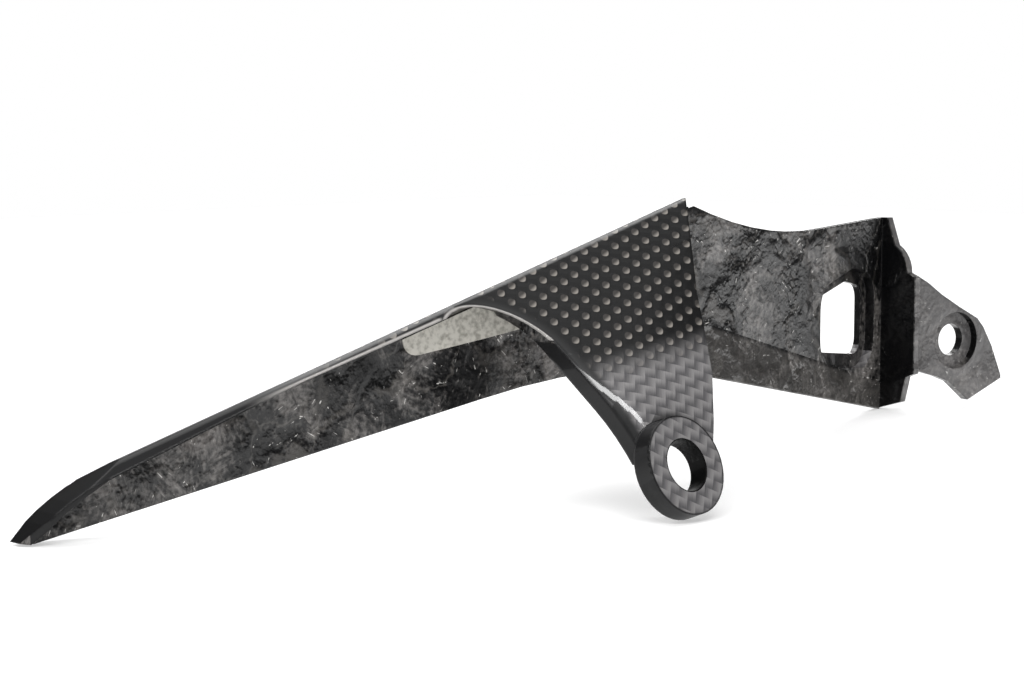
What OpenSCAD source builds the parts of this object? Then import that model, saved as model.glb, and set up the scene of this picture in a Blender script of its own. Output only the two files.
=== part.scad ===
// Motorcycle chain guard, one carbon-fibre laminate with two fixing points.
// It stands as it lies on a table: on its nose, on the foot of its lug and on its rear corner.
// X runs from the nose to the rear, the lug is on the -Y side and Z is up.
// Lengths are first measured from the nose, then the whole part is moved so that its origin is
// the centre of the lug's bore, on the face of the boss.

/* [Long wall] */
// Thickness of the long wall
wall_t = 1.6; // [1.2:0.1:2.4]
// Distance along X from the nose to the rear end of the wall
wall_len = 260; // [250:1:270]
// Distance along X from the nose to the middle of the bow
bow_x = 129; // [122:1:136]
// Angle in plan between each half of the wall and the X axis
bow_angle = 13; // [11:0.5:15]
// Radius of the bow in plan
bow_r = 180; // [150:5:200]
// Rise of the lower edge from the nose, for each mm along X
front_rise = 0.215; // [0.19:0.005:0.23]
// Rise of the lower edge from the rear corner, for each mm along X
rear_rise = 0.195; // [0.17:0.005:0.21]
// Radius where the two halves of the lower edge meet
belly_r = 150; // [100:5:200]
// Height of the wall at its rear end
rear_h = 50; // [46:1:54]
// Radius of the hollow in the upper edge
saddle_r = 216; // [190:2:240]
// Distance along X from the nose to the lowest place of the upper edge
saddle_x = 218; // [212:1:224]
// Height of the lowest place of the upper edge
saddle_z = 48.8; // [47:0.1:50]

/* [Ridge and roof] */
// Thickness of the roof and of the lug side
skin_t = 1.5; // [1.2:0.1:1.9]
// Distance along X from the nose to the rear end of the ridge
ridge_len = 136.5; // [135:0.5:138]
// Height at which the line of the ridge passes over the nose
ridge_h = 9.6; // [9.4:0.1:9.9]
// Rise of the ridge towards the rear, in degrees
ridge_slope = 19.9; // [19.6:0.1:20.2]
// Turn of the ridge in plan, in degrees from the X axis
ridge_turn = 15.1; // [14.8:0.1:15.4]
// Distance from the nose out to the line of the ridge
nose_w = 2.1; // [1.8:0.1:2.6]
// Fall of the roof away from the ridge, in degrees
roof_angle = 22; // [19:0.5:24]
// Rounding of the ridge
ridge_r = 2.2; // [2:0.1:3]
// Radius of the scoop that ends the roof
scoop_r = 22.4; // [18:0.2:30]

/* [Lug side] */
// Height of the lip along the ridge, past its deeper stretch at the nose
lip_h = 1.3; // [1:0.1:1.8]
// Radius of the arch between the lip and the lug
arch_r = 8.8; // [8:0.2:9.6]
// Depth of the turned-in flange along the lug's front edge
flange_w = 3.2; // [2.4:0.2:4.4]
// Fall of the flat upper part of the lug side, in degrees
side_angle = 42; // [41:0.2:43]
// Distance along the ridge of the middle of the lug's bend
bend_at = 112.2; // [111:0.2:113.4]
// Distance of that place from the ridge, down the lug side
bend_drop = 43.4; // [42.6:0.1:44]
// Turn of the bend's line from the ridge, in degrees
bend_turn = 33.8; // [32:0.2:36]
// Bend between the upper and the lower part of the lug, in degrees
lug_bend = 36.1; // [34:0.1:38]
// Radius of that bend
bend_r = 40; // [30:1:44]
// Distance along X from the nose to the knee in the lug's rear edge
edge_x = 125.2; // [124:0.1:126.4]
// Distance of that knee from the nose, towards -Y
edge_out = 52; // [51:0.1:53]

/* [Boss] */
// Distance along X from the nose to the bore
boss_x = 103; // [101:0.5:105]
// Distance of the boss face from the nose, towards -Y
boss_out = 68.8; // [68:0.1:70]
// Radius of the boss
boss_r = 9.9; // [9:0.1:11]
// Thickness of the boss
boss_t = 4.4; // [3.8:0.1:5.4]
// Radius of the bore
bore_r = 5.2; // [4.2:0.1:6]
// Upward lean of the boss face
boss_lean = 21.6; // [18:0.2:25]
// Turn of the boss face in plan
boss_turn = 1.7; // [-4:0.1:6]

/* [Rear tab] */
// Step from the long wall across to the tab
joggle = 8; // [6:0.5:10]
// Thickness of the joggle and the tab
tab_t = 2.4; // [1.8:0.1:3.2]
// Length of the tab
tab_len = 33; // [31:0.5:35]
// Height of the tab's upper edge where it leaves the joggle
tab_top = 35; // [33:0.5:37]
// Turn of the tab in plan
tab_turn = 12; // [8:0.5:16]
// Radius of the tab's hole
tab_hole_r = 4.2; // [3.2:0.1:5]
// Distance of the tab's hole from the joggle
tab_hole_s = 16.7; // [15:0.1:18]
// Height of the tab's hole
tab_hole_z = 17.6; // [16:0.1:19]
// Radius of the washer seat round the hole
seat_r = 7.4; // [6:0.1:8.4]
// Depth of the washer seat
seat_depth = 2.2; // [1.4:0.1:2.8]

/* [Window] */
// Distance of the window from the bow's corner, along the rear half of the wall
window_s = 100.5; // [98:0.5:103]
// Length of the window
window_l = 26; // [22:0.5:28]
// Height of the window's lower edge
window_z = 15.5; // [14:0.5:17]
// Height of the window at its front end
window_h = 17; // [14:0.5:18]
// Corner radius of the window
window_r = 4; // [2:0.5:6]
// Depth of the pocket round the window
pocket_depth = 2.4; // [1.6:0.2:3.2]
// Width of the pocket's sloping border
pocket_border = 3.4; // [2.6:0.2:4.2]

/* [Label] */
// Length of the blank label
label_l = 46; // [36:1:52]
// Height of the blank label
label_h = 8.5; // [6:0.5:9]
// Distance along X from the nose to the label's front end
label_x = 76.2; // [75:0.2:78]
// Height of the label's lower front corner
label_z = 29.6; // [29:0.1:30.4]
// Thickness of the blank label
label_t = 0.2; // [0.15:0.05:0.4]

/* [Hidden] */
$fn = 72;
// Where the two straight halves of the wall's inner face would meet
bow_y = -bow_x*tan(bow_angle);
// Half length along X of the curved stretch, and the centre of its arc
bow_run = bow_r*sin(bow_angle);
bow_centre_y = bow_y + bow_r/cos(bow_angle);
// Lower edge: where its two straight halves would meet, and the length of the rounding there
belly_x = rear_rise*wall_len/(front_rise + rear_rise);
belly_turn = (atan(front_rise) + atan(rear_rise))/2;
belly_run = belly_r*tan(belly_turn);
// Front end of the part in side view: the tip, then the nose rounding up to the ridge
nose_top = [[-3.6, 0.6], [-0.6, 4.1], [1.5, 6.0], [4.2, 8.0], [17.3, 16.3]];
// Height of the bore, so that the rear rim of the boss just touches the table
boss_z = boss_r*cos(boss_lean) + boss_t*sin(boss_lean);
boss_at = [boss_x, -boss_out, boss_z];
// The lug's front edge: its foot beside the boss, its lean up to the arch, then the arch itself
lug_front = boss_x - 7.4;
lug_lean = -1.2;
arch_lip = 1.8;
arch_x = lug_front + lug_lean - arch_r;
// Width of the flange's own wall
flange_t = 1.3;
// Distance below the ridge at which the lug's plate starts, inside the ridge's own flat
hand_over = 5;
// Room left on all sides where a shape is carried past the part before it is cut
spare = 10;
// The roof's end sits inside the wall, and the wall's top edge inside the roof, by this much
lap = 0.3;
// Place where the roof's scoop reaches the wall
roof_meet = ridge_len + 19.5;
// Rise of the label, in degrees, and the rounding of its corners
label_rise = 9.2;
label_r = 3;
// Reach of cutting shapes past the part
reach = 0.4*wall_len;

// Places on the wall and the ridge, as functions of the distance along X
function wall_y(x) =
    x < bow_x - bow_run ? -x*tan(bow_angle) :
    x > bow_x + bow_run ? (x - 2*bow_x)*tan(bow_angle) :
    bow_centre_y - sqrt(bow_r*bow_r - pow(x - bow_x, 2));
function ridge_y(x) = -nose_w - x*tan(ridge_turn);
function ridge_z(x) = ridge_h + x*tan(ridge_slope)/cos(ridge_turn);
function saddle_edge_z(x) =
    x > saddle_x ? saddle_z + (rear_h - saddle_z)*(x - saddle_x)/(wall_len - saddle_x) :
    saddle_z + saddle_r - sqrt(saddle_r*saddle_r - pow(saddle_x - x, 2));
// Points of an arc in a plane
function arc(centre, r, from, to, n) =
    [for (i = [0:n]) centre + r*[cos(from + (to - from)*i/n), sin(from + (to - from)*i/n)]];

// Section across the ridge, with the ridge at [0, 0], the lug side to the left and the roof to
// the right: centres of the ridge's rounding and of the curl, and the normals of the flat parts
side_n = [-sin(side_angle), cos(side_angle)];
side_down = -[cos(side_angle), sin(side_angle)];
roof_n = [sin(roof_angle), cos(roof_angle)];
half_turn = (side_angle + roof_angle)/2;
ridge_c = -ridge_r/cos(half_turn)*[-sin(side_angle - half_turn), cos(side_angle - half_turn)];
roof_reach = roof_meet*sin(ridge_turn)/cos(roof_angle) - spare;
// Place at depths a and b below the flat parts of the lug side and of the roof
function corner(a, b) =
    -[a*roof_n[1] - b*side_n[1], b*side_n[0] - a*roof_n[0]]/(side_n[0]*roof_n[1] - side_n[1]*roof_n[0]);
function roof_tip(t) = roof_reach*[cos(roof_angle), -sin(roof_angle)] - t*roof_n;
// Section across the lug's bend at a depth t: upper flat, bend and lower flat
bend_half = bend_r*tan(lug_bend/2);
bend_c = [bend_half, -bend_r];
lower_end = bend_c + bend_r*[-sin(lug_bend), cos(lug_bend)] - 2*spare*[cos(lug_bend), sin(lug_bend)];
function plate_line(t) = concat(
    [[bend_drop + 2*spare, -t]],
    arc(bend_c, bend_r - t, 90, 90 + lug_bend, 8),
    [lower_end + t*[sin(lug_bend), -cos(lug_bend)]]
);
function backwards(list) = [for (i = [len(list) - 1:-1:0]) list[i]];

// Puts a section across the ridge into place, its X along the ridge
module ridge_frame() {
    translate([0, -nose_w, ridge_h]) rotate([0, 0, -ridge_turn]) rotate([0, -ridge_slope, 0]) children();
}

module along_ridge() {
    ridge_frame() translate([-spare, 0, 0]) rotate([90, 0, 90]) linear_extrude(wall_len - 5*spare) children();
}

// Puts a shape into the plane of the lug side: X along the ridge, Y up to the ridge, Z outward
module side_frame() {
    ridge_frame() rotate([side_angle, 0, 0]) children();
}

module along_bend() {
    side_frame() translate([bend_at, -bend_drop, 0]) rotate([0, 0, bend_turn])
        translate([-3*spare, 0, 0]) rotate([90, 0, 90]) linear_extrude(11*spare) children();
}

// Section of the roof, the ridge and the top of the lug side
module ridge_section() {
    polygon(concat(
        [2*hand_over*side_down],
        arc(ridge_c, ridge_r, 90 + side_angle, 90 - roof_angle, 5),
        [roof_tip(0), roof_tip(skin_t), corner(skin_t, skin_t), 2*hand_over*side_down - skin_t*side_n]
    ));
}

// Section of the lug between two depths below its face
module plate_section(from, to) {
    polygon(concat(plate_line(from), backwards(plate_line(to))));
}

// Side view of the nose's rounding, open to the rear
module nose_outline() {
    polygon(concat(nose_top, [[nose_top[4][0], reach], [2*reach, reach], [2*reach, -10], [-3.6, -10]]));
}

function arch_point(angle, r) = arc([arch_x, ridge_z(arch_x) - arch_lip - arch_r], r, angle, angle, 1)[0];

// Side view of what is cut away below the lip, the arch and the lug
module under_outline() {
    polygon(concat(
        [[-spare, -reach], [2*reach, -reach], [2*reach, boss_z], [lug_front, boss_z]],
        [for (angle = [0:13:130]) arch_point(angle, arch_r)],
        [for (place = [[50, 1], [18, 1.7], [3, 2]]) [place[0], ridge_z(place[0]) - place[1]*lip_h]],
        [[-1, ridge_z(-1) - 2*lip_h], [-spare, ridge_z(-1) - 2*lip_h]]
    ));
}

// Side view of the room behind the lug side: everything but the flange, which runs out at the arch
module room_outline() {
    lean = lug_lean/(arch_point(0, arch_r)[1] - boss_z);
    polygon(concat(
        [[lug_front + flange_t - lean*(boss_z + spare), -spare]],
        [for (angle = [0:10:50]) arch_point(angle, arch_r + flange_t)],
        [arch_point(76, arch_r - flange_t/2), [arch_x - arch_r - 2, 2*spare]],
        [[-spare, -spare], [-spare, reach], [2*reach, reach], [2*reach, -spare]]
    ));
}

// Plan of what is cut away behind the lug's rear edge and the roof's scoop
module rear_cut() {
    from = [ridge_len, ridge_y(ridge_len)];
    to = [roof_meet, wall_y(roof_meet)];
    across = norm(to - from);
    centre = (from + to)/2 + [(to - from)[1], -(to - from)[0]]*sqrt(pow(scoop_r/across, 2) - 0.25);
    a = from - centre;
    b = to - centre;
    polygon(concat(
        [[boss_x + 9.6, -reach], [boss_x + 9.6, -boss_out + 1.6], [boss_x + 12.8, -boss_out + 4.1]],
        [[boss_x + 16.9, -boss_out + 8.1], [edge_x, -edge_out]],
        arc(centre, scoop_r, atan2(a[1], a[0]), atan2(b[1], b[0]), 8),
        [[roof_meet, 0], [2*reach, 0], [2*reach, -reach]]
    ));
}

// The lug: a bent plate with a flange turned in along its front edge
module lug() {
    difference() {
        intersection() {
            along_bend() plate_section(0, flange_w);
            side_frame() translate([-reach, -hand_over - 2*reach, -reach]) cube([5*reach, 2*reach, 2*reach]);
        }
        intersection() {
            along_bend() plate_section(skin_t, flange_w + 1);
            side_view() room_outline();
        }
    }
}

// The lip, the lug side and the roof
module skin() {
    difference() {
        union() {
            intersection() {
                along_ridge() ridge_section();
                side_view() nose_outline();
            }
            lug();
        }
        intersection() {
            side_view() under_outline();
            along_ridge() translate([-2*reach, -2*reach]) square([2*reach + 1, 2*reach + 5]);
        }
        translate([0, 0, -spare]) linear_extrude(2*reach) rear_cut();
        translate([0, 0, -spare]) linear_extrude(2*reach) wall_plan(lap - wall_t, 6*spare);
    }
}

// A side view outline in X and Z, carried through the whole width
module side_view(width = 2*reach) {
    translate([0, width/2, 0]) rotate([90, 0, 0]) linear_extrude(width) children();
}

// The wall in plan, from a distance in front of its inner face to a distance behind it
module wall_plan(front, back) {
    half = bow_x/cos(bow_angle) - bow_r*tan(bow_angle);
    rear_half = (wall_len - bow_x)/cos(bow_angle) - bow_r*tan(bow_angle);
    rotate(-bow_angle) translate([-spare, -front]) square([half + spare, front + back]);
    translate([bow_x, bow_centre_y]) intersection() {
        difference() {
            circle(bow_r + front, $fn = 360);
            circle(bow_r - back, $fn = 360);
        }
        polygon([[0, 0], 2*bow_r*[-sin(bow_angle), -cos(bow_angle)],
            2*bow_r*[sin(bow_angle), -cos(bow_angle)]]);
    }
    translate([bow_x, bow_y]) rotate(bow_angle)
        translate([bow_r*tan(bow_angle), -front]) square([rear_half, front + back]);
}

// Outline of the long wall in side view
module wall_outline() {
    belly_top = front_rise*belly_x;
    belly_c = [
        belly_x - belly_run*cos(atan(front_rise)) + belly_r*sin(atan(front_rise)),
        belly_top - belly_run*sin(atan(front_rise)) - belly_r*cos(atan(front_rise))
    ];
    polygon(concat(
        [[0, 0]],
        arc(belly_c, belly_r, 90 + atan(front_rise), 90 - atan(rear_rise), 6),
        [[wall_len + 1, -rear_rise], [wall_len + 1, rear_h]],
        [for (x = [wall_len - 4:-10:roof_meet]) [x, saddle_edge_z(x)]],
        [[roof_meet, saddle_edge_z(roof_meet)], [roof_meet - 20, reach], [nose_top[4][0], reach]],
        [for (i = [4:-1:0]) nose_top[i]]
    ));
}

// Outline of the window, or of its pocket with a border, in the plane of the rear half of the wall
module window_outline(border) {
    r = window_r + border;
    front = window_s + window_r;
    rear = window_s + window_l - window_r;
    low = window_z + window_r;
    polygon(concat(
        arc([front, low + 2], r, 180, 270, 6),
        arc([rear, low], r, 270, 360, 6),
        arc([rear, low + window_h - 7], r, 0, 70, 6),
        arc([rear - 6, low + window_h - 6], r, 80, 110, 3),
        arc([front, window_z + window_h - window_r], r, 125, 180, 5)
    ));
}

// Puts a shape into the plane of the rear half of the wall, X along it and Y out of its inner face
module on_rear_half() {
    translate([bow_x, bow_y, 0]) rotate([90, 0, bow_angle]) children();
}

module long_wall() {
    difference() {
        union() {
            intersection() {
                translate([0, 0, -1]) linear_extrude(reach) wall_plan(0, wall_t);
                side_view() wall_outline();
            }
            on_rear_half() translate([0, 0, -wall_t - pocket_depth])
                linear_extrude(pocket_depth + wall_t/2) window_outline(pocket_border + wall_t);
        }
        on_rear_half() translate([0, 0, -pocket_depth]) linear_extrude(reach/4) window_outline(pocket_border);
        on_rear_half() translate([0, 0, -reach/4]) linear_extrude(reach/2) window_outline(0);
        ridge_frame() rotate([-roof_angle, 0, 0]) translate([-reach, -reach, -lap])
            cube([wall_len + reach, 2*reach, reach]);
    }
}

// Sloping plate that closes the nose, from the ridge down to the tip, between the lip and the wall
module nose() {
    intersection() {
        side_view() polygon(concat(
            nose_top,
            [for (i = [4:-1:0]) nose_top[i] + [skin_t, -0.2]]
        ));
        translate([0, 0, -1]) linear_extrude(3*spare)
            polygon([[-5, 2], [-3.9, -0.4], [0.6, -4.9], [18, -9.6], [18, -3.3]]);
        along_ridge() polygon(concat(
            [3*spare*side_down],
            arc(ridge_c, ridge_r, 90 + side_angle, 90 - roof_angle, 5),
            [roof_tip(0), [roof_tip(0)[0], -3*spare]]
        ));
    }
}

module boss_axis() {
    translate(boss_at) rotate([0, 0, -boss_turn]) rotate([90 - boss_lean, 0, 0]) children();
}

module boss() {
    boss_axis() translate([0, 0, -boss_t]) cylinder(h = boss_t, r = boss_r);
}

// Riser that carries the tab out from the end of the wall
module joggle_riser() {
    foot = wall_y(wall_len);
    translate([wall_len, foot, 0]) rotate([90, 0, -90]) translate([0, 0, -tab_t])
        linear_extrude(tab_t)
            polygon(concat(
                [[-wall_t, 0], [0.8*joggle, 2.4], [joggle, 9], [joggle + tab_t, 10], [joggle + tab_t, tab_top]],
                arc([0, tab_top + 1], joggle, 0, 60, 6),
                [[1.5, rear_h], [-wall_t, rear_h]]
            ));
}

module tab_frame() {
    translate([wall_len + tab_t/2, wall_y(wall_len) - joggle, 0]) rotate([90, 0, -tab_turn]) children();
}

module tab() {
    tab_frame() difference() {
        union() {
            translate([0, 0, -tab_t]) linear_extrude(tab_t)
                polygon([
                    [-1, 9.2], [3.6, 10.3], [10.3, 8.4], [14.6, 6.8], [21.2, 1.6],
                    [tab_len, 6.6], [tab_len, 7.4], [29.5, 15.4], [26.4, 20.6], [24.2, 23],
                    [17.6, 26.4], [11.5, 29.8], [6.5, 33.2], [3, tab_top], [-1, tab_top]
                ]);
            translate([tab_hole_s, tab_hole_z, -seat_depth - tab_t])
                cylinder(h = seat_depth + tab_t/2, r = seat_r + 1.2);
        }
        translate([tab_hole_s, tab_hole_z, -seat_depth]) cylinder(h = reach/4, r = seat_r);
        translate([tab_hole_s, tab_hole_z, -reach/4]) cylinder(h = reach/2, r = tab_hole_r);
    }
}

module guard() {
    color("#2a2a2c") translate(-boss_at) difference() {
        union() {
            long_wall();
            nose();
            skin();
            boss();
            joggle_riser();
            tab();
        }
        boss_axis() translate([0, 0, -reach/4]) cylinder(h = reach/2, r = bore_r);
    }
}

// Blank label stuck to the inner face of the wall, its top hidden close below the roof
module label() {
    color("#bdbab2") translate(-boss_at) difference() {
        intersection() {
            translate([0, 0, -1]) linear_extrude(reach) wall_plan(label_t, 0);
            side_view() translate([label_x, label_z]) rotate(label_rise)
                polygon(concat(
                    arc([label_r, label_r], label_r, 180, 270, 6),
                    arc([label_l - label_r, label_r], label_r, 270, 360, 6),
                    arc([label_l - label_r, label_h - label_r], label_r, 0, 90, 6),
                    arc([label_r, label_h - label_r], label_r, 90, 180, 6)
                ));
        }
        ridge_frame() rotate([-roof_angle, 0, 0]) translate([-reach, -reach, -skin_t - lap])
            cube([wall_len + reach, 2*reach, reach]);
    }
}

guard();
label();
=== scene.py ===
"""Carbon laminate chain guard, seen lying on a white table. Metres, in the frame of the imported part."""

import math
from functools import partial

import bpy
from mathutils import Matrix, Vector

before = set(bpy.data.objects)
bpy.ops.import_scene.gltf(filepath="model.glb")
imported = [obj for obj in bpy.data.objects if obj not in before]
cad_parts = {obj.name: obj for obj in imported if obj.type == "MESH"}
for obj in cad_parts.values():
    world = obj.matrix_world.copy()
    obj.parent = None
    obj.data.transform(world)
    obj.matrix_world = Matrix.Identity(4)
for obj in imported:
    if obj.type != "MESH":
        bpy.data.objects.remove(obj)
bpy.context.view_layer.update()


# Guard
# One moulded laminate of carbon cloth in epoxy. Its outer side is a plain weave under clear gloss
# resin, which gives sharp highlights over dull tows; its inner side is short crumpled fibres, left as
# they came off the mould. Places are in mm from the nose, as in the CAD source.
def srgb(code):
    """A colour written as an sRGB hex string, as linear red, green, blue and alpha."""
    parts = [int(code[i:i + 2], 16)/255 for i in (1, 3, 5)]
    return [p/12.92 if p <= 0.04045 else ((p + 0.055)/1.055)**2.4 for p in parts] + [1.0]


def node(tree, kind, *inputs, out=0, **settings):
    """Adds a node; its inputs are linked or set in order, or by name or number from a dictionary."""
    made = tree.nodes.new("ShaderNode" + kind)
    for key, value in settings.items():
        setattr(made, key, value)
    sockets = {}
    for number, value in enumerate(inputs):
        sockets.update(value if isinstance(value, dict) else {number: value})
    for key, value in sockets.items():
        if isinstance(value, bpy.types.NodeSocket):
            tree.links.new(value, made.inputs[key])
        else:
            made.inputs[key].default_value = value
    return made.outputs if out is None else made.outputs[out]


def new_material(name):
    """An empty node material, and the function that adds nodes to it."""
    made = bpy.data.materials.new(name)
    made.use_nodes = True
    made.node_tree.nodes.clear()
    return made, partial(node, made.node_tree)


SMOOTH = {"interpolation_type": "SMOOTHSTEP"}
COLOUR = {"out": 2, "data_type": "RGBA"}
NUMBER = {"data_type": "FLOAT"}
DOT = {"out": 1, "operation": "DOT_PRODUCT"}

carbon, add = new_material("carbon")
MM = 1000.0
BOSS_AT = (103.0, -68.8, 10.8245)
coords = add("TexCoord", out="Object")
place = add("VectorMath", coords, (MM,)*3, BOSS_AT, operation="MULTIPLY_ADD")
x, y, z = add("SeparateXYZ", place, out=None)
nx, ny, nz = add("SeparateXYZ", add("NewGeometry", out="True Normal"), out=None)

# Places along the ridge, down from it over the lug side or over the roof, and out from the lug side
RIDGE_AT = (0.0, -2.1, 9.6)
TURN, SLOPE = math.radians(15.1), math.radians(19.9)
SIDE, ROOF = math.radians(42.0), math.radians(22.0)
ridge_x = Vector((math.cos(TURN)*math.cos(SLOPE), -math.sin(TURN)*math.cos(SLOPE), math.sin(SLOPE)))
ridge_y = Vector((math.sin(TURN), math.cos(TURN), 0.0))
ridge_z = ridge_x.cross(ridge_y)
from_ridge = add("VectorMath", place, RIDGE_AT, operation="SUBTRACT")
along = add("VectorMath", from_ridge, ridge_x, **DOT)
inward = add("VectorMath", from_ridge, ridge_y, **DOT)
side_down = add("VectorMath", from_ridge, -math.cos(SIDE)*ridge_y - math.sin(SIDE)*ridge_z, **DOT)
roof_down = add("Math", inward, -1/math.cos(ROOF), operation="MULTIPLY")
raised = add("VectorMath", from_ridge, math.cos(SIDE)*ridge_z - math.sin(SIDE)*ridge_y, **DOT)
on_roof = add("Math", inward, 0.0, operation="GREATER_THAN")
down = add("Mix", {0: on_roof, 2: side_down, 3: roof_down}, **NUMBER)

# The same on the bent lug: along the line of its bend, and the length of surface below the bend's start
BEND_AT, BEND_DROP, BEND_R = 112.2, 43.4, 40.0
BEND_TURN, BEND = math.radians(33.8), math.radians(36.1)
flat_place = add("CombineXYZ", along, down, 0.0)
from_bend = add("VectorMath", flat_place, (BEND_AT, BEND_DROP, 0.0), operation="SUBTRACT")
on_line = add("VectorMath", from_bend, (math.cos(BEND_TURN), -math.sin(BEND_TURN), 0.0), **DOT)
off_line = add("VectorMath", from_bend, (math.sin(BEND_TURN), math.cos(BEND_TURN), 0.0), **DOT)
sunk = add("Math", off_line, BEND_R*math.tan(BEND/2), operation="ADD")
above_centre = add("Math", raised, BEND_R, operation="ADD")
bend_angle = add("Math", sunk, above_centre, operation="ARCTAN2")
round_bend = add("Math", bend_angle, BEND_R, operation="MULTIPLY")
past_bend = add("Math", above_centre, -math.sin(BEND), operation="MULTIPLY")
past_bend = add("Math", sunk, math.cos(BEND), past_bend, operation="MULTIPLY_ADD")
lug_surface = add("Mix", {0: add("Math", past_bend, 0.0, operation="GREATER_THAN"), 2: round_bend,
                          3: add("Math", past_bend, BEND_R*BEND, operation="ADD")}, **NUMBER)
lug_surface = add("Mix", {0: add("Math", sunk, 0.0, operation="GREATER_THAN"),
                          2: sunk, 3: lug_surface}, **NUMBER)

# On the outer side of the wall the weave runs along the wall instead; the wall lies 13 degrees off x,
# so that 1 mm in x is 1.026 mm of wall
WALL_STRETCH = 1.026
outside = add("Math", ny, 0.5, operation="GREATER_THAN")
along_wall = add("Math", x, WALL_STRETCH, operation="MULTIPLY")
lengthwise = add("Mix", {0: outside, 2: on_line, 3: along_wall}, **NUMBER)
down_wall = add("Math", z, -1.0, operation="MULTIPLY")
surface = add("Mix", {0: outside, 2: lug_surface, 3: down_wall}, **NUMBER)

# Plain weave of tows 2.13 mm wide, turned 69 degrees from the bend's line
TOW, WEAVE_TURN = 2.13, math.radians(68.8)
cloth = add("CombineXYZ", lengthwise, surface, 0.0)
weft = add("VectorMath", cloth, (math.cos(WEAVE_TURN)/TOW, math.sin(WEAVE_TURN)/TOW, 0.0), **DOT)
warp = add("VectorMath", cloth, (-math.sin(WEAVE_TURN)/TOW, math.cos(WEAVE_TURN)/TOW, 0.0), **DOT)
tow_sum = add("Math", add("Math", weft, operation="FLOOR"),
              add("Math", warp, operation="FLOOR"), operation="ADD")
over = add("Math", add("Math", tow_sum, 2.0, operation="FLOORED_MODULO"), 0.5, operation="GREATER_THAN")
across = add("Math", add("Math", weft, operation="FRACT"), 0.5, operation="SUBTRACT")
length = add("Math", add("Math", warp, operation="FRACT"), 0.5, operation="SUBTRACT")

# Where the cloth faces up the crown of each upper tow is painted as a highlight dot, brighter on one side
DOT_ACROSS, DOT_LENGTH, DOT_SQUARENESS = 0.36, 0.42, 2.6
dot_edge = 0.0
for offset, half in ((across, DOT_ACROSS), (length, DOT_LENGTH)):
    share = add("Math", add("Math", offset, operation="ABSOLUTE"), half, operation="DIVIDE")
    share = add("Math", share, DOT_SQUARENESS, operation="POWER")
    dot_edge = add("Math", share, dot_edge, operation="ADD")
dot = add("Math", over, add("MapRange", dot_edge, 1.2, 0.7, **SMOOTH), operation="MULTIPLY")
dot_light = add("Math", length, 0.9, 0.45, operation="MULTIPLY_ADD")
dot_light = add("Math", across, 1.1, dot_light, operation="MULTIPLY_ADD")
# The dots are painted highlights over the dark cloth, each lighter towards one side
dot_highlight_colour = add("Mix", {0: add("MapRange", dot_light, 0.3, 0.95, **SMOOTH),
                         6: srgb("#33302e"), 7: srgb("#86817b")}, **COLOUR)
dotted = add("Mix", {0: dot, 6: srgb("#0b0b0c"), 7: dot_highlight_colour}, **COLOUR)

# On the lower lug and the boss the whole cloth is painted grey as lit, each tow with a painted highlight
# towards one end; a real tow has thousands of filaments, too fine to show, so it is drawn with 14 streaks
LOWER_AT, LOWER_DOWN, LOWER_SOFT = (97.25, -50.33, 27.81), (0.0987, -0.2744, -0.9565), 4.0
FIBRES_PER_TOW, FIBRE_STRETCH = 14.0, 0.8
fibre_place = add("CombineXYZ", add("Math", weft, FIBRES_PER_TOW, operation="MULTIPLY"),
                  add("Math", warp, FIBRE_STRETCH, operation="MULTIPLY"))
fibres = add("TexNoise", {"Vector": fibre_place, "Scale": 1.0}, noise_dimensions="2D")
back_end = add("Math", length, -1.0, operation="MULTIPLY")
step = add("Math", add("Mix", {0: over, 2: across, 3: back_end}, **NUMBER), 0.5, operation="ADD")
stair = add("Math", add("MapRange", step, 0.0, 1.0, **SMOOTH), 0.65,
            add("Math", fibres, 0.4, operation="MULTIPLY"), operation="MULTIPLY_ADD")
painted_lit_stair_colour = add("Mix", {0: stair, 6: srgb("#3d3c3f"), 7: srgb("#858383")}, **COLOUR)
# A fixed plane parts the dark dotted weave above from the painted lit weave below it
from_lower = add("VectorMath", place, LOWER_AT, operation="SUBTRACT")
below_line = add("VectorMath", from_lower, LOWER_DOWN, **DOT)
painted_lit_zone = add("Math", add("MapRange", below_line, -LOWER_SOFT, LOWER_SOFT, **SMOOTH),
            add("Math", 1.0, outside, operation="SUBTRACT"), operation="MULTIPLY")
weave = add("Mix", {0: painted_lit_zone, 6: dotted, 7: painted_lit_stair_colour}, **COLOUR)

# The boss: woven on its face, smooth and dark on its side, with a ring of painted shade round it on the
# lug
BOSS_AXIS, BOSS_R, BORE_R, BOSS_T = Vector((-0.02758, -0.92937, 0.36812)), 9.9, 5.2, 4.4
from_boss = add("VectorMath", coords, (MM,)*3, operation="MULTIPLY")
boss_depth = add("VectorMath", from_boss, BOSS_AXIS, **DOT)
on_axis = add("VectorMath", BOSS_AXIS, {"Scale": boss_depth}, operation="SCALE")
boss_away = add("VectorMath", from_boss, on_axis, out=1, operation="DISTANCE")
boss_side = add("Math", add("MapRange", boss_away, BOSS_R - 0.5, BOSS_R - 0.1, **SMOOTH),
                add("MapRange", boss_away, BOSS_R + 0.4, BOSS_R + 0.2, **SMOOTH), operation="MULTIPLY")
boss_side = add("Math", boss_side, add("Math", boss_depth, -BOSS_T - 0.2, operation="GREATER_THAN"),
                operation="MULTIPLY")
bore = add("Math", add("Math", boss_depth, operation="ABSOLUTE"), 6.0, operation="LESS_THAN")
bore = add("Math", add("Math", boss_away, BORE_R + 0.2, operation="LESS_THAN"), bore,
           operation="MULTIPLY")
pad = add("Math", add("MapRange", boss_away, BOSS_R + 0.1, BOSS_R - 0.1, **SMOOTH),
          add("Math", boss_depth, -0.6, operation="GREATER_THAN"), operation="MULTIPLY")
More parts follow.
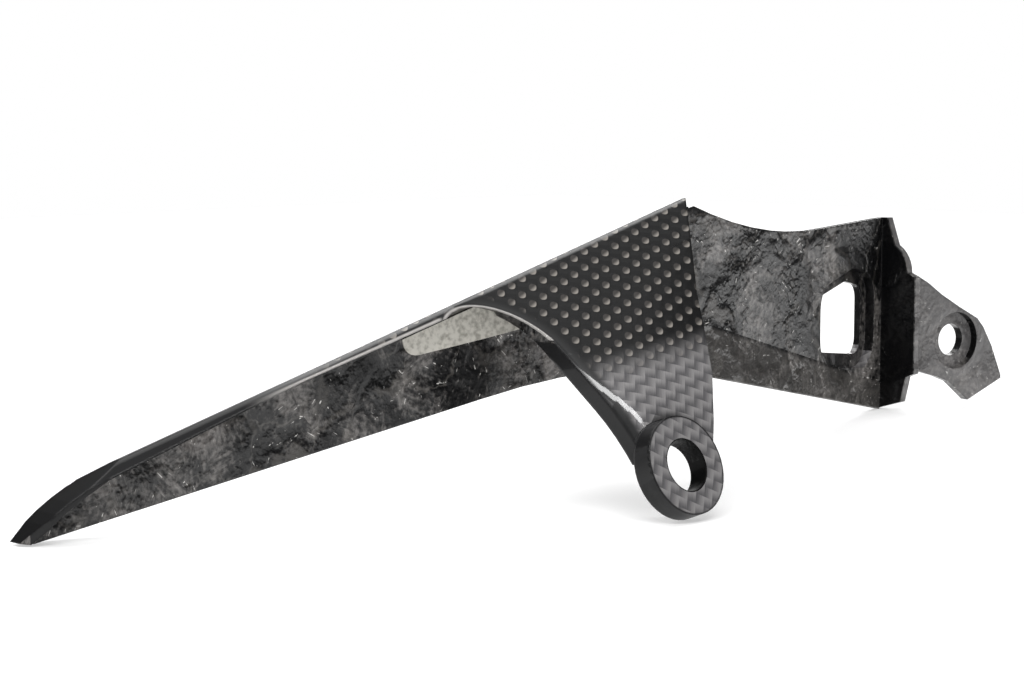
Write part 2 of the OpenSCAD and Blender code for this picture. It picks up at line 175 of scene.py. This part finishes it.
# Painted shade in a ring round the boss, where it meets the lug
boss_shade_ring = add("MapRange", boss_away, BOSS_R + 2.7, BOSS_R + 0.3, **SMOOTH)
boss_shade_ring = add("Math", boss_shade_ring, add("Math", boss_depth, -1.0, operation="LESS_THAN"), operation="MULTIPLY")
boss_shade_ring = add("Math", boss_shade_ring, add("Math", boss_depth, -4.0, operation="GREATER_THAN"), operation="MULTIPLY")

# Distance from the lug's front edge and from the arch, counted as far away everywhere else
FRONT_X, FRONT_LEAN, ARCH_X, ARCH_Z, ARCH_R, FAR = 96.24, 0.0588, 85.6, 31.1, 8.8, 10.0
side_place = add("CombineXYZ", x, 0.0, z)
from_arch = add("VectorMath", side_place, (ARCH_X, 0.0, ARCH_Z), out=1, operation="DISTANCE")
arch_gap = add("Math", from_arch, ARCH_R, operation="SUBTRACT")
edge_gap = add("Math", z, FRONT_LEAN, x, operation="MULTIPLY_ADD")
edge_gap = add("Math", edge_gap, FRONT_X, operation="SUBTRACT")
front_gap = add("Mix", {0: add("Math", z, ARCH_Z, operation="GREATER_THAN"),
                        2: edge_gap, 3: arch_gap}, **NUMBER)
front_gap = add("Mix", {0: add("Math", x, ARCH_X - 3.0, operation="GREATER_THAN"),
                        2: FAR, 3: front_gap}, **NUMBER)
front_gap = add("Mix", {0: add("Math", pad, outside, operation="MAXIMUM"),
                        2: front_gap, 3: FAR}, **NUMBER)

# Near that edge and along the front of the lip the weave runs out under smooth dark resin
woven = add("Math", add("MapRange", along, 52.0, 80.0, **SMOOTH), outside, operation="MAXIMUM")
woven = add("Math", add("MapRange", front_gap, 1.6, 3.4, **SMOOTH), woven, operation="MULTIPLY")
outer_colour = add("Mix", {0: woven, 6: srgb("#101011"), 7: weave}, **COLOUR)
outer_colour = add("Mix", {0: add("Math", boss_shade_ring, 0.8, operation="MULTIPLY"),
                           6: outer_colour, 7: srgb("#0e0e0f")}, **COLOUR)

# A thin painted highlight on the lower edge of the lip and on the arch, where their rounded edges catch
# light
LIP_RISE, LIP_Z, HIGHLIGHT_SOFT = 0.3642, 8.85, (0.5, 0.2)
lip_edge_z = add("Math", x, LIP_RISE, LIP_Z, operation="MULTIPLY_ADD")
from_lip = add("Math", z, lip_edge_z, operation="SUBTRACT")
lip_highlight = add("Math", add("MapRange", add("Math", from_lip, operation="ABSOLUTE"), *HIGHLIGHT_SOFT, **SMOOTH),
              add("MapRange", x, 79.5, 78.5, **SMOOTH), operation="MULTIPLY")
arch_highlight = add("Math", add("MapRange", arch_gap, *HIGHLIGHT_SOFT, **SMOOTH),
               add("Math", z, ARCH_Z + 2.5, operation="GREATER_THAN"), operation="MULTIPLY")
arch_highlight = add("Math", arch_highlight, add("MapRange", x, 77.5, 79.5, **SMOOTH), operation="MULTIPLY")
edge_highlight = add("Math", lip_highlight, arch_highlight, operation="MAXIMUM")
for share in (add("MapRange", x, 38.0, 52.0, **SMOOTH), add("MapRange", raised, -0.5, -0.2, **SMOOTH)):
    edge_highlight = add("Math", edge_highlight, share, operation="MULTIPLY")

# The front edge is rolled, wider towards the boss; each tow stands a little proud in its middle
ROLL_NARROW, ROLL_WIDE, ROLL, TOW_HEIGHT = 2.6, 7.0, 0.05, 0.12
roll_width = add("Mix", {0: add("MapRange", z, 34.0, 13.0, **SMOOTH),
                         2: ROLL_NARROW, 3: ROLL_WIDE}, **NUMBER)
roll = add("Math", add("Math", roll_width, front_gap, operation="SUBTRACT"), 0.0, operation="MAXIMUM")
roll = add("Math", add("Math", roll, 2.0, operation="POWER"), -ROLL, operation="MULTIPLY")
off_tow = add("Math", add("Mix", {0: over, 2: length, 3: across}, **NUMBER), operation="ABSOLUTE")
tow_height = add("Math", off_tow, -TOW_HEIGHT, operation="MULTIPLY")
tow_height = add("Math", tow_height, woven, operation="MULTIPLY")
outer_height = add("Math", roll, tow_height, operation="ADD")

# Inner side: patches of short fibres about 6 mm wide, each lying its own way, over clouds of 17 mm,
# with folds of 14 mm, streaks, and fine scratches that carry painted white glints. Single fibres are too
# fine to show, so the grain is drawn as coarse as 1.25 mm.
PATCH, CLOUD, GRAIN, FOLD, WARP, WARP_BY = 6.25, 16.6667, 1.25, 14.2857, 10.0, 16.0
STREAK_LONG, STREAK_WIDE, SCRATCH_LONG, SCRATCH_WIDE = 4.54545, 0.76923, 6.53595, 0.53476
FLAT = {"noise_dimensions": "2D"}
inner_place = add("CombineXYZ", add("Math", along_wall, y, operation="SUBTRACT"), z)
warped = add("TexNoise", {"Vector": inner_place, "Scale": 1/WARP, "Detail": 4.0}, out=1, **FLAT)
patch_place = add("VectorMath", warped, (WARP_BY,)*3, inner_place, operation="MULTIPLY_ADD")
patch = add("TexVoronoi", {"Vector": patch_place, "Scale": 1/PATCH}, out=1, voronoi_dimensions="2D")
patch_turn, patch_tone, _ = add("SeparateXYZ", patch, out=None)
patch_turn = add("Math", patch_turn, math.pi, operation="MULTIPLY")
laid = add("VectorRotate", {"Vector": inner_place, "Angle": patch_turn}, rotation_type="Z_AXIS")
stretched = add("VectorMath", laid, (1/STREAK_LONG, 1/STREAK_WIDE, 1.0), operation="MULTIPLY")
streak = add("TexNoise", {"Vector": stretched, "Scale": 1.0, "Detail": 4.0, "Distortion": 0.2}, **FLAT)
grain = add("TexNoise", {"Vector": inner_place, "Scale": 1/GRAIN, "Detail": 6.0}, **FLAT)
cloud = add("TexNoise", {"Vector": inner_place, "Scale": 1/CLOUD, "Detail": 6.0, "Distortion": 0.4},
            **FLAT)
fold = add("TexNoise", {"Vector": patch_place, "Scale": 1/FOLD, "Detail": 1.0, "Distortion": 0.5},
           **FLAT)
tone = add("Math", add("MapRange", x, 60.0, 10.0, **SMOOTH), 0.1, -0.52, operation="MULTIPLY_ADD")
for layer, share in ((cloud, 1.0), (grain, 0.5), (patch_tone, 0.12), (streak, 0.36)):
    tone = add("Math", layer, share, tone, operation="MULTIPLY_ADD")
inner_colour = add("Mix", {0: add("MapRange", tone, 0.38, 0.98, **SMOOTH),
                           6: srgb("#0d0d0e"), 7: srgb("#8c8885")}, **COLOUR)
fold_line = add("Math", add("Math", fold, 0.5, operation="SUBTRACT"), operation="ABSOLUTE")
wrinkle = add("MapRange", fold_line, 0.05, 0.0, **SMOOTH)
scratch_place = add("VectorMath", laid, (1/SCRATCH_LONG, 1/SCRATCH_WIDE, 1.0), operation="MULTIPLY")
scratch = add("TexNoise", {"Vector": scratch_place, "Scale": 1.0, "Detail": 1.0}, **FLAT)
# Painted highlight: white glints on the finest scratches
glint = add("Math", add("MapRange", scratch, 0.72, 0.76, **SMOOTH),
            add("MapRange", grain, 0.5, 0.62, **SMOOTH), operation="MULTIPLY")

# Below a crease on the rear half the inner side stands a little higher, and its face there is painted
# paler as lit
CREASE_X, CREASE_Z, CREASE_FALL = 161.9, 31.2, -0.2433
crease_z = add("Math", add("Math", x, CREASE_X, operation="SUBTRACT"), CREASE_FALL, CREASE_Z,
               operation="MULTIPLY_ADD")
below = add("Math", add("Math", crease_z, z, operation="SUBTRACT"), 0.0, operation="MAXIMUM")
below = add("Math", below, add("MapRange", x, 150.0, 164.0, **SMOOTH), operation="MULTIPLY")
lit_below_crease = add("MapRange", below, 0.0, 1.2, **SMOOTH)
inner_height = add("Math", below, 0.3, operation="MULTIPLY")
for layer, share in ((grain, 0.22), (fold, 2.2)):
    inner_height = add("Math", layer, share, inner_height, operation="MULTIPLY_ADD")

# The riser at the wall's end is painted near-black as shade, and the tab behind it is paler
REAR = 250.0
shaded_riser = add("Math", add("Math", nx, -0.7, operation="LESS_THAN"),
            add("Math", x, REAR, operation="GREATER_THAN"), operation="MULTIPLY")
tab = add("Math", add("Math", ny, -0.5, operation="LESS_THAN"),
          add("Math", x, REAR + 10.5, operation="GREATER_THAN"), operation="MULTIPLY")
for mask, strength, code in ((wrinkle, 0.1, "#a9a39c"), (glint, 1.0, "#d8d6d2"),
                             (lit_below_crease, 0.35, "#6b6865"), (shaded_riser, 0.95, "#09090a"),
                             (tab, 0.45, "#7b7979")):
    inner_colour = add("Mix", {0: add("Math", mask, strength, operation="MULTIPLY"),
                               6: inner_colour, 7: srgb(code)}, **COLOUR)

# The inner side is what faces down, the wall's side towards the lug, and the rear end; the wall's plan
# is taken as a curve that runs into its two straight halves
BOW_X, BOW_Y, BOW_SPREAD, BOW_SOFT = 129.0, 29.78, 0.0533, 22.4
off_bow = add("Math", add("Math", x, BOW_X, operation="SUBTRACT"), 2.0, operation="POWER")
bow = add("Math", add("Math", off_bow, BOW_SPREAD, BOW_SOFT, operation="MULTIPLY_ADD"), operation="SQRT")
bow = add("Math", bow, BOW_Y + 3.0, operation="SUBTRACT")
facing_lug = add("Math", ny, 0.3, operation="LESS_THAN")
wall_side = add("Math", add("Math", y, bow, operation="GREATER_THAN"),
                add("Math", nz, 0.45, operation="LESS_THAN"), operation="MULTIPLY")
rear_end = add("Math", x, REAR + 8.0, operation="GREATER_THAN")
inner = add("Math", wall_side, rear_end, operation="MAXIMUM")
inner = add("Math", inner, facing_lug, operation="MULTIPLY")
inner = add("Math", inner, add("Math", nz, -0.15, operation="LESS_THAN"), operation="MAXIMUM")

colour = add("Mix", {0: inner, 6: outer_colour, 7: inner_colour}, **COLOUR)
# Over the rest go the boss's dark side, the painted edge highlight and the black bore
for mask, code in ((boss_side, "#131314"), (edge_highlight, "#a5a29f"), (bore, "#060606")):
    colour = add("Mix", {0: mask, 6: colour, 7: srgb(code)}, **COLOUR)
height = add("Mix", {0: inner, 2: outer_height, 3: inner_height}, **NUMBER)
height = add("Mix", {0: boss_side, 2: height, 3: 0.0}, **NUMBER)
coat_height = add("Mix", {0: inner, 2: roll, 3: inner_height}, **NUMBER)

# Cut edges, the boss's side and the lip's front are duller; the bore and the riser take no gloss
uncoated = add("Math", add("Math", 1.0, inner, operation="SUBTRACT"),
               add("MapRange", along, 60.0, 40.0, **SMOOTH), operation="MULTIPLY")
dull = add("Math", add("MapRange", front_gap, 0.9, 0.3, **SMOOTH), boss_side, operation="MAXIMUM")
dull = add("Math", add("Math", dull, uncoated, operation="MAXIMUM"), 0.7, operation="MULTIPLY")
dull = add("Math", dull, add("Math", bore, shaded_riser, operation="MAXIMUM"), operation="MAXIMUM")
coat = add("Math", add("Mix", {0: inner, 2: 1.0, 3: 0.5}, **NUMBER),
           add("Math", 1.0, dull, operation="SUBTRACT"), operation="MULTIPLY")

EDGE_R = 0.0006
rounded = add("Bevel", {"Radius": EDGE_R}, samples=6)
in_mm = {"Strength": 1.0, "Distance": 1/MM, "Normal": rounded}
shade = add("BsdfPrincipled", {
    "Base Color": colour,
    "Roughness": add("Mix", {0: inner, 2: 0.42, 3: 0.34}, **NUMBER),
    "IOR": 1.5,
    "Specular IOR Level": add("Mix", {0: dull, 2: 0.3, 3: 0.1}, **NUMBER),
    "Normal": add("Bump", {"Height": height, **in_mm}),
    "Coat Weight": coat,
    "Coat Roughness": add("Mix", {0: inner, 2: 0.06, 3: 0.18}, **NUMBER),
    "Coat Normal": add("Bump", {"Height": coat_height, **in_mm})})
add("OutputMaterial", shade, out=None)
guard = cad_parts["guard"]
guard.data.materials.clear()
guard.data.materials.append(carbon)

# Label
# A blank sticker of matt vinyl on the inner side of the wall, pale grey and rubbed in specks of about
# a millimetre.
SPECK = 1.1111
vinyl, add = new_material("label")
rubbed = add("TexNoise", {"Vector": add("TexCoord", out="Object"), "Scale": MM/SPECK, "Detail": 8.0})
vinyl_colour = add("Mix", {0: add("MapRange", rubbed, 0.3, 0.62, **SMOOTH),
                           6: srgb("#9d9a91"), 7: srgb("#cfccc3")}, **COLOUR)
shade = add("BsdfPrincipled", {"Base Color": vinyl_colour, "Roughness": 0.6, "IOR": 1.5})
add("OutputMaterial", shade, out=None)
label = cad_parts["label"]
label.data.materials.clear()
label.data.materials.append(vinyl)

# Table
# A plain white sheet that glows a little, so that it meets the white background and its shadows stay
# faint.
FLOOR_Z, FLOOR_HALF = -BOSS_AT[2]/MM, 1.0
floor_mesh = bpy.data.meshes.new("floor")
floor_mesh.from_pydata([(side_x*FLOOR_HALF, side_y*FLOOR_HALF, FLOOR_Z)
                        for side_x, side_y in ((-1, -1), (1, -1), (1, 1), (-1, 1))], [], [(0, 1, 2, 3)])
floor = bpy.data.objects.new("floor", floor_mesh)
bpy.context.scene.collection.objects.link(floor)
sheet, add = new_material("floor")
shade = add("BsdfPrincipled", {"Base Color": srgb("#c8c8c8"), "Roughness": 0.6, "IOR": 1.2,
                               "Emission Color": srgb("#ffffff"), "Emission Strength": 0.45})
add("OutputMaterial", shade, out=None)
floor_mesh.materials.append(sheet)

# Light
# A white room where it is seen directly, a darker one for reflections, and four soft panels.
ROOM_DIFFUSE, ROOM_REFLECTED = 0.6, 0.07
world = bpy.data.worlds.new("room")
bpy.context.scene.world = world
world.use_nodes = True
world.node_tree.nodes.clear()
add = partial(node, world.node_tree)
camera_ray = add("LightPath", out="Is Camera Ray")
diffuse_ray = add("LightPath", out="Is Diffuse Ray")
strength = add("Math", diffuse_ray, ROOM_DIFFUSE, operation="MULTIPLY")
for share in (camera_ray, ROOM_REFLECTED):
    strength = add("Math", strength, share, operation="MAXIMUM")
add("OutputWorld", add("Background", {"Color": srgb("#ffffff"), "Strength": strength}), out=None)


def panel(name, at, to, size, watts):
    """A soft rectangular lamp that looks at a point."""
    lamp = bpy.data.lights.new(name, "AREA")
    lamp.shape, lamp.size, lamp.size_y, lamp.energy = "RECTANGLE", size[0], size[1], watts
    made = bpy.data.objects.new(name, lamp)
    made.location = at
    made.rotation_euler = (Vector(to) - Vector(at)).to_track_quat("-Z", "Y").to_euler()
    made.visible_camera = False
    bpy.context.scene.collection.objects.link(made)


panel("top", (0.05, 0.46, 1.1), (0.05, 0.05, 0.0), (1.2, 0.9), 9.0)
panel("back", (0.9, 1.0, 0.45), (0.05, 0.0, 0.05), (1.2, 0.4), 5.0)
panel("left", (-0.9, -0.2, 0.5), (0.0, 0.0, 0.02), (0.35, 0.9), 1.8)
panel("streak", (-0.37, -0.38, 0.80), (0.0, 0.01, 0.01), (0.75, 0.15), 5.0)

# Camera
# The photo's view: from the front left, 6.1 degrees down, with a lens of 83 mm.
camera_data = bpy.data.cameras.new("camera")
camera_data.lens = 83.04
camera_data.sensor_width = 36.0
camera_data.clip_start = 0.01
camera = bpy.data.objects.new("camera", camera_data)
camera.location = (-0.3429, -0.2951, 0.0722)
DOWN, LEFT = math.radians(6.10), math.radians(45.0)
look = Vector((math.cos(LEFT)*math.cos(DOWN), math.sin(LEFT)*math.cos(DOWN), -math.sin(DOWN)))
camera.rotation_euler = look.to_track_quat("-Z", "Y").to_euler()
bpy.context.scene.collection.objects.link(camera)
bpy.context.scene.camera = camera
bpy.context.scene.view_settings.view_transform = "Standard"
